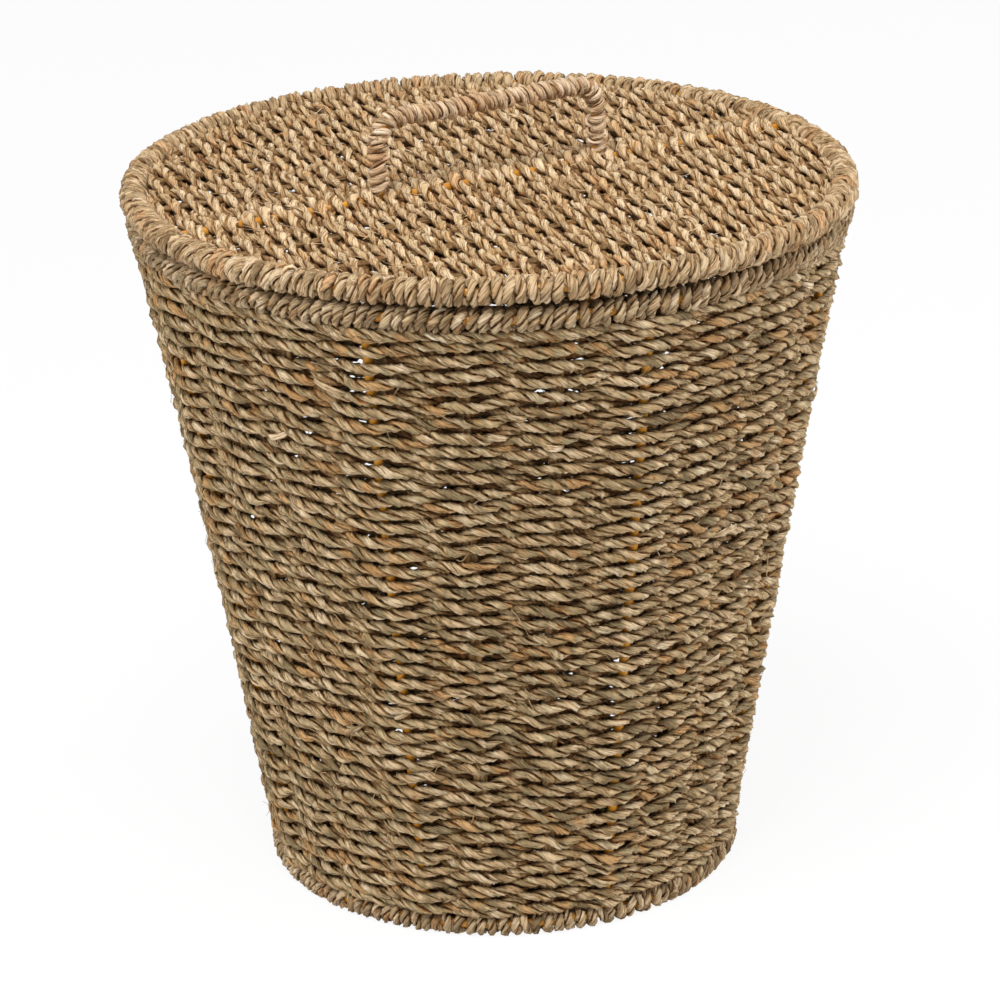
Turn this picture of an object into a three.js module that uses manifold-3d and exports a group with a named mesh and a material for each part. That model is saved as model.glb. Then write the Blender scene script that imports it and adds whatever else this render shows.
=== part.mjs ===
// A round, tapered basket of woven seagrass on a painted wire frame, with a flat woven lift-off lid.
// Millimetres, +Z up. The origin is the centre of the foot, and +X runs along the lid's handle.

import * as THREE from 'three';
import { mergeVertices } from 'three/addons/utils/BufferGeometryUtils.js';
import Module from 'manifold-3d';

const wasm = await Module();
wasm.setup();

// Driving sizes
const wireDiameter = 5;
const clearance = 0.3;
const overrun = 5;

const baseRadius = 121; // centreline of the base hoop
const rimRadius = 181.5; // centreline of the rim hoop
const basketRise = 354.6; // from the base hoop up to the rim hoop
const wallCover = 3.2; // woven cord on each side of a rib
const sunkCover = 0.8; // least cover over a rib, where a row passes behind it
const wallRowPitch = 4.1; // from one row of cord up to the next
const wallSag = 1.6; // how far the wall's side falls short of a straight slope
const ribBulge = 1.5; // how far the ribs hold the weave out of round

const baseBand = 3; // cord wound on the base hoop
const footDepth = 0.5; // worn flat under the base binding
const soleLift = 0.6; // underside of the base panel above the foot

const rimBand = 4.5; // cord wound on the rim hoop
const lidBand = 4.8; // cord wound on the lid hoop
const lidOverlap = 2; // lid hoop's radius beyond the rim hoop's
const lidPanelDrop = 1.6; // lid panel's face below the top of the lid's edge

const stakeWidth = 8; // two seagrass strands side by side
const stakeThickness = 3.6;

const handleSpan = 128;
const handleRise = 42; // from the lid wire up to the handle's bar
const handleBend = 12;
const handleBand = 2.5; // thickness of the band wound on the handle
const handleBandGap = 0.9;

// Counts and angles
const ribCount = 8;
const stakesPerBay = 2;
const uprightCount = ribCount * (stakesPerBay + 1);
const cordCount = 2; // cords that chase each other up the wall
const lidStakesPerSide = 3;
const baseStakesPerSide = 4;
const handleTurns = 24;
const stepsPerTurn = 12;
const ribPhase = THREE.MathUtils.degToRad(-3.5);
const ringSegments = 40;
const wireSides = 6;
const bindingSides = 8;
const wallSteps = 4;
const pathPoints = 9;
const handleSteps = 56;

// Sizes that follow
const wireRadius = wireDiameter / 2;
const boreRadius = wireRadius + clearance;
const rimBindingRadius = boreRadius + rimBand;
const baseBindingRadius = boreRadius + baseBand;
const lidBindingRadius = boreRadius + lidBand;
const lidRadius = rimRadius + lidOverlap;

const baseHoopZ = baseBindingRadius - footDepth;
const rimHoopZ = baseHoopZ + basketRise;
const wallBottomZ = baseHoopZ + baseBindingRadius + clearance;
const wallTopZ = rimHoopZ - rimBindingRadius - clearance;
const wallHalf = boreRadius + wallCover;

const basePanelRadius = baseRadius - baseBindingRadius - clearance;
const basePanelHalf = baseHoopZ - soleLift;
const lidPanelRadius = lidRadius - lidBindingRadius - clearance;
const lidPanelHalf = lidBindingRadius - lidPanelDrop;

// The lid comes down until its edge or its panel meets the rim. Bindings of nearly one radius meet flat face
// to flat face, and others meet beside it.
const bindingReach = rimBindingRadius + lidBindingRadius + clearance;
const besideSeatRise = Math.sqrt(bindingReach ** 2 - lidOverlap ** 2);
const flatShare = Math.cos(Math.PI / bindingSides);
const flatSeatRise = (rimBindingRadius + lidBindingRadius) * flatShare + clearance;
const edgeSeatRise = Math.min(besideSeatRise, flatSeatRise);
const panelSeatRise = rimBindingRadius + clearance + lidPanelHalf;
const lidHoopZ = rimHoopZ + Math.max(edgeSeatRise, panelSeatRise);
const lidPanelTopZ = lidHoopZ + lidPanelHalf;

// Materials
function paintedWire() {
  return new THREE.MeshStandardMaterial({ color: 0xbe8214, roughness: 0.45, metalness: 0.1 });
}

function seagrass(color) {
  return new THREE.MeshStandardMaterial({ color, roughness: 0.85, metalness: 0 });
}

const weaveColor = 0xb0986f;
const stakeColor = 0xa08c66;
const rimColor = 0xa8946e;
const bandColor = 0xc4a684;

// Helpers
function piece(name, geometry, material) {
  const mesh = new THREE.Mesh(geometry, material);
  mesh.name = name;
  return mesh;
}

function toSolid(geometry) {
  const bare = geometry.clone();
  bare.deleteAttribute('normal');
  bare.deleteAttribute('uv');
  const welded = mergeVertices(bare);
  const vertProperties = new Float32Array(welded.attributes.position.array);
  const triVerts = new Uint32Array(wholeFaces(welded.index.array));
  return new wasm.Manifold(new wasm.Mesh({ numProp: 3, vertProperties, triVerts }));
}

// The triangles that still have three corners after welding
function wholeFaces(corners) {
  const whole = [];
  for (let i = 0; i < corners.length; i += 3) {
    const [a, b, c] = corners.slice(i, i + 3);
    if (a !== b && b !== c && c !== a) whole.push(a, b, c);
  }
  return whole;
}

// The faces between neighbouring sections of as many corners each, split along their other diagonal where
// crossed says so
function stripFaces(sections, crossed = () => false) {
  const sides = sections[0].length;
  const index = [];
  for (let i = 0; i < sections.length - 1; i += 1) {
    for (let k = 0; k < sides; k += 1) {
      const a = i * sides + k;
      const b = i * sides + ((k + 1) % sides);
      if (crossed(i, k)) {
        index.push(a, a + sides, b + sides, a, b + sides, b);
      } else {
        index.push(a, a + sides, b, b, a + sides, b + sides);
      }
    }
  }
  return index;
}

function meshOf(sections, index) {
  const position = sections.flat().flatMap((corner) => corner.toArray());
  const geometry = new THREE.BufferGeometry();
  geometry.setAttribute('position', new THREE.Float32BufferAttribute(position, 3));
  geometry.setIndex(index);
  geometry.computeVertexNormals();
  return geometry;
}

function cut(geometry, cutters) {
  let solid = toSolid(geometry);
  for (const cutter of cutters) {
    solid = solid.subtract(toSolid(cutter));
  }
  const mesh = solid.getMesh();
  const result = new THREE.BufferGeometry();
  result.setAttribute('position', new THREE.BufferAttribute(mesh.vertProperties, 3));
  result.setIndex(new THREE.BufferAttribute(mesh.triVerts, 1));
  result.computeVertexNormals();
  return result;
}

function ovalSection(halfWidth, halfDepth, sides) {
  const points = [];
  for (let i = 0; i < sides; i += 1) {
    const angle = (2 * Math.PI * (i + 0.5)) / sides;
    points.push(new THREE.Vector2(halfWidth * Math.cos(angle), halfDepth * Math.sin(angle)));
  }
  return new THREE.Shape(points);
}

function rod(path, halfWidth, halfDepth, steps) {
  const section = ovalSection(halfWidth, halfDepth, wireSides);
  return new THREE.ExtrudeGeometry(section, { steps, extrudePath: path, bevelEnabled: false });
}

// A closed outline of [radius, height] pairs turned about the Z axis
function turned(outline) {
  const points = outline.map(([radius, height]) => new THREE.Vector2(radius, height));
  points.push(points[0].clone());
  return new THREE.LatheGeometry(points, ringSegments).rotateX(Math.PI / 2);
}

// A ring of round section, cut flat where it would pass below floorZ
function ring(radius, sectionRadius, z, sides, floorZ = -Infinity) {
  const outline = [];
  for (let i = 0; i < sides; i += 1) {
    const angle = (2 * Math.PI * (i + 0.5)) / sides;
    const height = Math.max(z + sectionRadius * Math.sin(angle), floorZ);
    outline.push([radius + sectionRadius * Math.cos(angle), height]);
  }
  return turned(outline);
}

function disc(radius, halfThickness, z) {
  const cylinder = new THREE.CylinderGeometry(radius, radius, 2 * halfThickness, ringSegments);
  return cylinder.rotateX(Math.PI / 2).translate(0, 0, z);
}

// The wall's middle surface: its radius at height z, and how far the ribs push it out there
function wallRadius(z) {
  const riseShare = (z - baseHoopZ) / basketRise;
  const straight = baseRadius + (rimRadius - baseRadius) * riseShare;
  return straight - wallSag * Math.sin(Math.PI * riseShare);
}

function bulgeAt(z, angle) {
  const riseShare = (z - baseHoopZ) / basketRise;
  return ribBulge * Math.sin(Math.PI * riseShare) * Math.cos(ribCount * angle);
}

// The line up the wall at one angle, drawn in the XZ plane for a mesh that is turned to its place
function wallPath(angle, bottomZ, topZ) {
  const points = [];
  for (let i = 0; i < pathPoints; i += 1) {
    const z = bottomZ + ((topZ - bottomZ) * i) / (pathPoints - 1);
    points.push(new THREE.Vector3(wallRadius(z) + bulgeAt(z, angle), 0, z));
  }
  return new THREE.CatmullRomCurve3(points);
}

function crossPath(halfLength, y, z) {
  return new THREE.LineCurve3(new THREE.Vector3(-halfLength, y, z), new THREE.Vector3(halfLength, y, z));
}

// Wire hoops and the bindings wound on them
const ribAngles = Array.from({ length: ribCount }, (_, i) => (2 * Math.PI * i) / ribCount);

function ribChannel(angle) {
  const path = wallPath(angle, baseHoopZ, rimHoopZ);
  return rod(path, boreRadius, boreRadius, wallSteps).rotateZ(angle);
}

function hoop(name, radius, z) {
  return piece(name, ring(radius, wireRadius, z, wireSides), paintedWire());
}

function binding(name, radius, bindingRadius, z, color, cutters) {
  const sleeve = ring(radius, bindingRadius, z, bindingSides, 0);
  const bore = ring(radius, boreRadius, z, wireSides);
  return piece(name, cut(sleeve, [bore, ...cutters]), seagrass(color));
}

// Ribs and stakes of the wall
function rib(index) {
  const angle = ribAngles[index];
  const path = wallPath(angle, baseHoopZ + boreRadius, rimHoopZ - boreRadius);
  const mesh = piece(`rib_wire_${index + 1}`, rod(path, wireRadius, wireRadius, wallSteps), paintedWire());
  mesh.rotation.z = angle;
  return mesh;
}

const stakeAngles = [];
for (const ribAngle of ribAngles) {
  for (let i = 1; i <= stakesPerBay; i += 1) {
    stakeAngles.push(ribAngle + ((2 * Math.PI) / ribCount) * (i / (stakesPerBay + 1)));
  }
}

function wallStake(index) {
  const angle = stakeAngles[index];
  const path = wallPath(angle, wallBottomZ + clearance, wallTopZ - clearance);
  const geometry = rod(path, stakeWidth / 2, stakeThickness / 2, wallSteps);
  const mesh = piece(`wall_stake_${index + 1}`, geometry, seagrass(stakeColor));
  mesh.rotation.z = angle;
  return mesh;
}

function stakeChannel(angle) {
  const path = wallPath(angle, wallBottomZ - overrun, wallTopZ + overrun);
  const halfWidth = stakeWidth / 2 + clearance;
  const halfDepth = stakeThickness / 2 + clearance;
  return rod(path, halfWidth, halfDepth, wallSteps).rotateZ(angle);
}

const firstRowShare = 0.5; // the first row's height above the wall's end, in row pitches
const endShare = 0.25; // the least height of a row above that end, in row pitches

// The height of a row at one upright. A row climbs as many rows in a turn as there are cords, and one that
// comes too close to the wall's end, or would pass it, lies on it.
function rowHeight(row, column) {
  const turnShare = column / uprightCount;
  const z = wallBottomZ + wallRowPitch * (row + firstRowShare + cordCount * turnShare);
  if (z < wallBottomZ + wallRowPitch * endShare) return wallBottomZ;
  return z > wallTopZ - wallRowPitch * endShare ? wallTopZ : z;
}

// The wall's section at one upright: up the outside, row by row, and down the inside. Rows pass in front of
// the upright and behind it by turns.
function wallSection(column, rowCount) {
  const angle = (2 * Math.PI * (column % uprightCount)) / uprightCount;
  const corner = (z, half) => {
    const radius = wallRadius(z) + bulgeAt(z, angle) + half;
    return new THREE.Vector3(radius * Math.cos(angle), radius * Math.sin(angle), z);
  };
  const section = [];
  for (let row = -cordCount - 1; row <= rowCount; row += 1) {
    const z = rowHeight(row, column);
    const atEnd = z === wallBottomZ || z === wallTopZ;
    const inFront = (row + column) % 2 === 0;
    section.push(corner(z, atEnd || inFront ? wallHalf : boreRadius + sunkCover));
  }
  for (let i = wallSteps; i >= 0; i -= 1) {
    const z = wallBottomZ + ((wallTopZ - wallBottomZ) * i) / wallSteps;
    section.push(corner(z, -wallHalf));
  }
  return section;
}

// The woven wall, open along every rib and stake that it is woven round. Its rows stand proud at every second
// upright, and each face between them is split from one sunk corner to the other.
function wallWeave() {
  const rowCount = Math.ceil((wallTopZ - wallBottomZ) / wallRowPitch);
  const sections = [];
  for (let column = 0; column <= uprightCount; column += 1) {
    sections.push(wallSection(column, rowCount));
  }
  const startsSunk = (column, row) => (row + column) % 2 === 0;
  const shell = meshOf(sections, stripFaces(sections, startsSunk));
  const cutters = [...ribAngles.map(ribChannel), ...stakeAngles.map(stakeChannel)];
  return piece('wall_weave', cut(shell, cutters), seagrass(weaveColor));
}

// A flat woven panel, with one wire across its middle and stakes beside it
function panelStakes(prefix, radius, z, perSide) {
  const stakes = [];
  const pitch = radius / (perSide + 1);
  for (let i = -perSide; i <= perSide; i += 1) {
    if (i === 0) continue;
    const y = i * pitch;
    const halfLength = Math.sqrt(radius ** 2 - (Math.abs(y) + stakeWidth / 2) ** 2);
    const geometry = rod(crossPath(halfLength, y, z), stakeThickness / 2, stakeWidth / 2, 1);
    stakes.push(piece(`${prefix}_${stakes.length + 1}`, geometry, seagrass(stakeColor)));
  }
  return stakes;
}

function panelChannels(radius, z, perSide) {
  const channels = [rod(crossPath(radius + overrun, 0, z), boreRadius, boreRadius, 1)];
  const pitch = radius / (perSide + 1);
  for (let i = -perSide; i <= perSide; i += 1) {
    if (i === 0) continue;
    const path = crossPath(radius + overrun, i * pitch, z);
    channels.push(rod(path, stakeThickness / 2 + clearance, stakeWidth / 2 + clearance, 1));
  }
  return channels;
}

function crossWire(name, hoopRadius, z) {
  const path = crossPath(hoopRadius - boreRadius, 0, z);
  return piece(name, rod(path, wireRadius, wireRadius, 1), paintedWire());
}

function crossWireChannel(hoopRadius, z) {
  return rod(crossPath(hoopRadius, 0, z), boreRadius, boreRadius, 1);
}

// The handle's bail: up one leg, round a bend, along the bar and down the other leg
const handleFootZ = lidHoopZ + boreRadius;
const handleLeg = lidHoopZ + handleRise - handleBend - handleFootZ;
const handleArc = (Math.PI / 2) * handleBend;
const handleBar = handleSpan - 2 * handleBend;
const handleLength = 2 * handleLeg + 2 * handleArc + handleBar;

// The bail's point, its direction and its outward side, s along the wire from the left foot
function bailAt(s) {
  const fromFoot = Math.min(s, handleLength - s);
  const side = s > handleLength / 2 ? 1 : -1;
  const topZ = lidHoopZ + handleRise;
  const halfSpan = handleSpan / 2;
  if (fromFoot < handleLeg) {
    return {
      point: new THREE.Vector3(side * halfSpan, 0, handleFootZ + fromFoot),
      along: new THREE.Vector3(0, 0, -side),
      out: new THREE.Vector3(side, 0, 0),
    };
  }
  const turn = Math.min((fromFoot - handleLeg) / handleBend, Math.PI / 2);
  const onBar = Math.max(fromFoot - handleLeg - handleArc, 0);
  const out = new THREE.Vector3(side * Math.cos(turn), 0, Math.sin(turn));
  const centreX = side * (halfSpan - handleBend - onBar);
  const centre = new THREE.Vector3(centreX, 0, topZ - handleBend);
  return {
    point: centre.addScaledVector(out, handleBend),
    along: new THREE.Vector3(out.z, 0, -out.x),
    out,
  };
}

class BailCurve extends THREE.Curve {
  getPoint(t, target = new THREE.Vector3()) {
    return target.copy(bailAt(t * handleLength).point);
  }
}

function handleWire() {
  return piece('handle_wire', rod(new BailCurve(), wireRadius, wireRadius, handleSteps), paintedWire());
}

function footHole(side) {
  const bottom = new THREE.Vector3((side * handleSpan) / 2, 0, lidHoopZ);
  const top = new THREE.Vector3((side * handleSpan) / 2, 0, lidPanelTopZ + overrun);
  return rod(new THREE.LineCurve3(bottom, top), boreRadius, boreRadius, 1);
}

// The band wound on the handle. Its section is a flattened hexagon, given as shares of its width across
// and of its thickness out from the wire.
const bandSectionShares = [[-0.5, 0.5], [-0.32, 0], [0.32, 0], [0.5, 0.5], [0.32, 1], [-0.32, 1]];

function windingSections() {
  const middleRadius = boreRadius + handleBand / 2;
  const margin = lidPanelTopZ + clearance - handleFootZ;
  const firstPitch = (handleLength - 2 * margin) / (handleTurns + 1);
  const turnLength = 2 * Math.PI * middleRadius;
  const slant = Math.atan2(firstPitch, turnLength);
  const bandWidth = firstPitch * Math.cos(slant) - handleBandGap;
  const start = margin + (bandWidth / 2) * Math.cos(slant);
  const pitch = (handleLength - 2 * start) / handleTurns;
  const sections = [];
  for (let i = 0; i <= handleTurns * stepsPerTurn; i += 1) {
    const turn = (2 * Math.PI * i) / stepsPerTurn;
    const s = start + (pitch * i) / stepsPerTurn;
    const section = bandSectionShares.map(([acrossShare, outShare]) => {
      const across = acrossShare * bandWidth;
      const angle = turn - (across * Math.sin(slant)) / middleRadius;
      const { point, out } = bailAt(s + across * Math.cos(slant));
      const reach = boreRadius + outShare * handleBand;
      const sideways = new THREE.Vector3(0, 1, 0);
      const outward = point.addScaledVector(out, reach * Math.cos(angle));
      return outward.addScaledVector(sideways, reach * Math.sin(angle));
    });
    sections.push(section);
  }
  return sections;
}

// Least distance between corners of the band that lie more than half a turn apart
function leastSelfGap(sections) {
  let least = Infinity;
  for (let i = 0; i < sections.length; i += 1) {
    for (let j = i + stepsPerTurn / 2; j < Math.min(i + 2 * stepsPerTurn, sections.length); j += 1) {
      for (const a of sections[i]) {
        for (const b of sections[j]) {
          least = Math.min(least, a.distanceTo(b));
        }
      }
    }
  }
  return least;
}

function handleBinding() {
  const sections = windingSections();
  console.log(`handle winding: least gap to itself ${leastSelfGap(sections).toFixed(2)} mm`);
  const sides = bandSectionShares.length;
  const index = stripFaces(sections);
  const last = (sections.length - 1) * sides;
  for (let k = 1; k < sides - 1; k += 1) {
    index.push(0, k, k + 1);
    index.push(last, last + k + 1, last + k);
  }
  return piece('handle_binding', meshOf(sections, index), seagrass(bandColor));
}

// Assembly
const basket = new THREE.Group();
const placedRibChannels = ribAngles.map((angle) => ribChannel(angle).rotateZ(ribPhase));
const baseWireChannel = crossWireChannel(baseRadius, baseHoopZ);
basket.add(
  hoop('rim_hoop', rimRadius, rimHoopZ),
  hoop('base_hoop', baseRadius, baseHoopZ),
  binding('rim_binding', rimRadius, rimBindingRadius, rimHoopZ, rimColor, placedRibChannels),
  binding('base_binding', baseRadius, baseBindingRadius, baseHoopZ, weaveColor,
    [...placedRibChannels, baseWireChannel]),
  crossWire('base_wire', baseRadius, baseHoopZ),
  ...panelStakes('base_stake', basePanelRadius, baseHoopZ, baseStakesPerSide),
  piece('base_panel', cut(disc(basePanelRadius, basePanelHalf, baseHoopZ),
    panelChannels(basePanelRadius, baseHoopZ, baseStakesPerSide)), seagrass(weaveColor)),
);

const wall = new THREE.Group();
wall.rotation.z = ribPhase;
wall.add(wallWeave(), ...ribAngles.map((_, i) => rib(i)), ...stakeAngles.map((_, i) => wallStake(i)));
basket.add(wall);

const lid = new THREE.Group();
lid.add(
  hoop('lid_hoop', lidRadius, lidHoopZ),
  binding('lid_binding', lidRadius, lidBindingRadius, lidHoopZ, bandColor,
    [crossWireChannel(lidRadius, lidHoopZ)]),
  crossWire('lid_wire', lidRadius, lidHoopZ),
  ...panelStakes('lid_stake', lidPanelRadius, lidHoopZ, lidStakesPerSide),
  piece('lid_panel', cut(disc(lidPanelRadius, lidPanelHalf, lidHoopZ),
    [...panelChannels(lidPanelRadius, lidHoopZ, lidStakesPerSide), footHole(-1), footHole(1)]),
  seagrass(weaveColor)),
  handleWire(),
  handleBinding(),
);

const group = new THREE.Group();
group.add(basket, lid);

export default group;
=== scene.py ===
# %% [markdown]
# # A woven seagrass basket
# The real basket is twisted cord woven over and under a wire frame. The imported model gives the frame, the
# hoops and plain shells where the weaving goes. This lesson takes its sizes from that model and replaces the
# shells with real cord, one twisted strand at a time. Only the wall is 0.6 mm further out of round here.

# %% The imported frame
import math

import bpy
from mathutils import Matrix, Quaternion, Vector


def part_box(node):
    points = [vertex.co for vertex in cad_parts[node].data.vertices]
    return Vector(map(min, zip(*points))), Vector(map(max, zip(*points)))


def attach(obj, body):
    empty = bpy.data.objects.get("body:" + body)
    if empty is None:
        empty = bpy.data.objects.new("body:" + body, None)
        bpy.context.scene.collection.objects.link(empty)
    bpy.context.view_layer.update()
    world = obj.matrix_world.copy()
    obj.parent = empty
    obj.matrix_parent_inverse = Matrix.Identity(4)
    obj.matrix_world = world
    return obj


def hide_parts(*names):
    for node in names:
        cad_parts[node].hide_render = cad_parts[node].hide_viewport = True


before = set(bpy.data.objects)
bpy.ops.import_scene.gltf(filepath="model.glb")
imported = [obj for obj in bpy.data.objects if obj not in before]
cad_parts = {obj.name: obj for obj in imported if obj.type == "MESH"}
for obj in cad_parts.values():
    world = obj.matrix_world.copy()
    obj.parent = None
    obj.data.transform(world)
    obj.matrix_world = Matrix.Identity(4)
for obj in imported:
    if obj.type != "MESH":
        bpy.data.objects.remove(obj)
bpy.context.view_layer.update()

print("packed nodes:", len(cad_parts))

# %% [markdown]
# The main sizes come from the frame. A hoop's box gives its radius and its height, because the solid is a
# ring of six-sided section with one corner up and one down. The handle's box gives its span and its top.

# %% Sizes read from the frame
HOOP_SIDES = 6


def hoop_size(node):
    """Centreline radius, height of the centreline and wire radius of a hoop."""
    low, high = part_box(node)
    wire = (high[2] - low[2]) / 2
    radius = (high[0] - low[0]) / 2 - wire * math.cos(math.pi / HOOP_SIDES)
    return radius, (low[2] + high[2]) / 2, wire


base_radius, base_z, wire_radius = hoop_size("base_hoop")
rim_radius, rim_z, _ = hoop_size("rim_hoop")
lid_radius, lid_z, _ = hoop_size("lid_hoop")
basket_rise = rim_z - base_z
wall_low, wall_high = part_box("wall_weave")
_, handle_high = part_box("handle_wire")
handle_reach = handle_high[0] - wire_radius
handle_top = handle_high[2] - wire_radius
rim_phase = math.radians(-3.5)
wall_sag = 0.0016
rib_bulge = 0.0021
rib_count = 8
upright_count = 24
uprights_per_rib = upright_count // rib_count
print(f"hoops: base {base_radius:.4f}, rim {rim_radius:.4f}, lid {lid_radius:.4f} at {lid_z:.4f}")

# %% [markdown]
# ## Nodes written as Python
# A node tree reads like a formula if Python's own operators add the Math nodes. `Socket` holds one output,
# and `Tree.node` makes any node: its settings first, then the values or links of its inputs.

# %% Sockets that do arithmetic


class Socket:
    """One output socket. Arithmetic on it adds Math nodes to its tree."""

    def __init__(self, tree, socket):
        self.tree = tree
        self.socket = socket

    def also(self, output):
        """Another output of the same node."""
        return Socket(self.tree, self.socket.node.outputs[output])

    def __add__(self, other):
        return self.tree.math("ADD", self, other)

    def __radd__(self, other):
        return self.tree.math("ADD", other, self)

    def __sub__(self, other):
        return self.tree.math("SUBTRACT", self, other)

    def __rsub__(self, other):
        return self.tree.math("SUBTRACT", other, self)

    def __mul__(self, other):
        return self.tree.math("MULTIPLY", self, other)

    def __rmul__(self, other):
        return self.tree.math("MULTIPLY", other, self)

    def __truediv__(self, other):
        return self.tree.math("DIVIDE", self, other)

    def __pow__(self, other):
        return self.tree.math("POWER", self, other)


class Tree:
    """A node tree with one method that makes any node, and short names for the ones used most."""

    def __init__(self, tree):
        self.tree = tree

    def node(self, kind, settings=None, inputs=None, out=0):
        made = self.tree.nodes.new(kind)
        for name, value in (settings or {}).items():
            if name == "stops":
                self.set_stops(made.color_ramp, value)
            else:
                setattr(made, name, value)
        for key, value in (inputs or {}).items():
            if isinstance(value, Socket):
                self.tree.links.new(value.socket, made.inputs[key])
            else:
                made.inputs[key].default_value = value
        return Socket(self, made.outputs[out])

    def set_stops(self, ramp, stops):
        while len(ramp.elements) > 1:
            ramp.elements.remove(ramp.elements[-1])
        ramp.elements[0].position, ramp.elements[0].color = stops[0]
        for position, color in stops[1:]:
            ramp.elements.new(position).color = color

    def math(self, operation, *values):
        return self.node("ShaderNodeMath", {"operation": operation}, dict(enumerate(values)))

    def sin(self, value):
        return self.math("SINE", value)

    def cos(self, value):
        return self.math("COSINE", value)

    def clamp(self, value):
        return self.node("ShaderNodeClamp", {}, {"Value": value})

    def remap(self, value, low, high, new_low=0.0, new_high=1.0):
        """A Map Range node, which also clamps."""
        inputs = {"Value": value, "From Min": low, "From Max": high, "To Min": new_low, "To Max": new_high}
        return self.node("ShaderNodeMapRange", {}, inputs)

    def vector(self, operation, *values):
        return self.node("ShaderNodeVectorMath", {"operation": operation}, dict(enumerate(values)))

    def scaled(self, vector, factor):
        return self.node("ShaderNodeVectorMath", {"operation": "SCALE"}, {0: vector, "Scale": factor})

    def combine(self, x, y, z):
        return self.node("ShaderNodeCombineXYZ", {}, {"X": x, "Y": y, "Z": z})

    def split(self, vector):
        x = self.node("ShaderNodeSeparateXYZ", {}, {0: vector})
        return x, x.also("Y"), x.also("Z")

    def noise(self, vector, scale=1.0, detail=2.0):
        """Noise about zero, from -0.5 to 0.5."""
        inputs = {"Vector": vector, "Scale": scale, "Detail": detail}
        return self.node("ShaderNodeTexNoise", {}, inputs) - 0.5


# %% [markdown]
# ## Growing a piece
# A Geometry Nodes tree with named inputs is a recipe. `grow` runs a recipe on a start mesh, keeps the result
# as a plain mesh, removes the modifier, ties the piece to its body and hides the nodes that it replaces.

# %% Recipes and how they are run
SOCKET_KINDS = {float: "NodeSocketFloat", int: "NodeSocketInt", tuple: "NodeSocketVector"}
triangle_counts = []


class Recipe(Tree):
    """A Geometry Nodes tree with a geometry input, named inputs with their usual values, and a material."""

    def __init__(self, name, **inputs):
        super().__init__(bpy.data.node_groups.new(name, "GeometryNodeTree"))
        face = self.tree.interface
        face.new_socket("Geometry", in_out="INPUT", socket_type="NodeSocketGeometry")
        face.new_socket("Geometry", in_out="OUTPUT", socket_type="NodeSocketGeometry")
        material = face.new_socket("Material", in_out="INPUT", socket_type="NodeSocketMaterial")
        self.identifiers = {"Material": material.identifier}
        for label, value in inputs.items():
            made = face.new_socket(label, in_out="INPUT", socket_type=SOCKET_KINDS[type(value)])
            made.default_value = value
            self.identifiers[label] = made.identifier
        self.entry = self.tree.nodes.new("NodeGroupInput")
        self.exit = self.tree.nodes.new("NodeGroupOutput")

    def input(self, label):
        return Socket(self, self.entry.outputs[label])

    def position(self):
        return self.node("GeometryNodeInputPosition")

    def path(self):
        """The start mesh as curves."""
        return self.node("GeometryNodeMeshToCurve", {}, {"Mesh": self.input("Geometry")})

    def finish(self, geometry):
        """Smooth shading, real geometry and the material, then the output."""
        geometry = self.node("GeometryNodeSetShadeSmooth", {}, {"Geometry": geometry})
        geometry = self.node("GeometryNodeRealizeInstances", {}, {"Geometry": geometry})
        geometry = self.node("GeometryNodeSetMaterial", {}, {0: geometry, "Material": self.input("Material")})
        self.tree.links.new(geometry.socket, self.exit.inputs["Geometry"])


def start_mesh(name, lines, closed):
    """A mesh of separate lines of points, which a recipe turns into its paths."""
    points = []
    edges = []
    for line in lines:
        first = len(points)
        points.extend(tuple(point) for point in line)
        edges.extend((i, i + 1) for i in range(first, len(points) - 1))
        if closed:
            edges.append((len(points) - 1, first))
    mesh = bpy.data.meshes.new(name)
    mesh.from_pydata(points, edges, [])
    return mesh


def add(name, data):
    """A new object in the scene."""
    made = bpy.data.objects.new(name, data)
    bpy.context.scene.collection.objects.link(made)
    return made


def grow(name, recipe, material, body, slot, nodes, lines=(), closed=False, **values):
    """Runs a recipe and keeps its result as a plain mesh of one body."""
    piece = add(name, start_mesh(name, lines, closed))
    modifier = piece.modifiers.new("recipe", "NODES")
    modifier.node_group = recipe.tree
    for label, value in {"Material": material, **values}.items():
        modifier[recipe.identifiers[label]] = value
    graph = bpy.context.evaluated_depsgraph_get()
    grown = piece.evaluated_get(graph)
    made = bpy.data.meshes.new_from_object(grown, preserve_all_data_layers=True, depsgraph=graph)
    piece.modifiers.remove(modifier)
    piece.data = made
    made.name = name
    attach(piece, body)
    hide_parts(*nodes)
    triangles = sum(len(face.vertices) - 2 for face in made.polygons)
    triangle_counts.append(triangles)
    print(f"{name}: {triangles} triangles")


def numbered(name, count):
    """The node names of a numbered family."""
    return [f"{name}_{number}" for number in range(1, count + 1)]


# %% [markdown]
# ## Seagrass
# Dried seagrass is a flat hollow leaf with long fibres. Its colour changes from leaf to leaf, from olive grey
# over straw to russet, and the fibres show as fine streaks along the strand. Every strand here carries three
# attributes: `grain`, a place across and along the strand, `strand`, a number of its own, and `crease`,
# which is 1 where the strand turns in towards its neighbour. There the material darkens the colour with
# painted shade, for the shadow in the gap between strands. The material reads them, so the streaks follow the
# twist.

# %% Colour helpers


def tone(red, green, blue):
    """A colour given as screen values from 0 to 255, turned to the linear values that shaders use."""
    linear = []
    for value in (red, green, blue):
        share = value / 255
        linear.append(share / 12.92 if share <= 0.04045 else ((share + 0.055) / 1.055) ** 2.4)
    return (*linear, 1.0)


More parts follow.
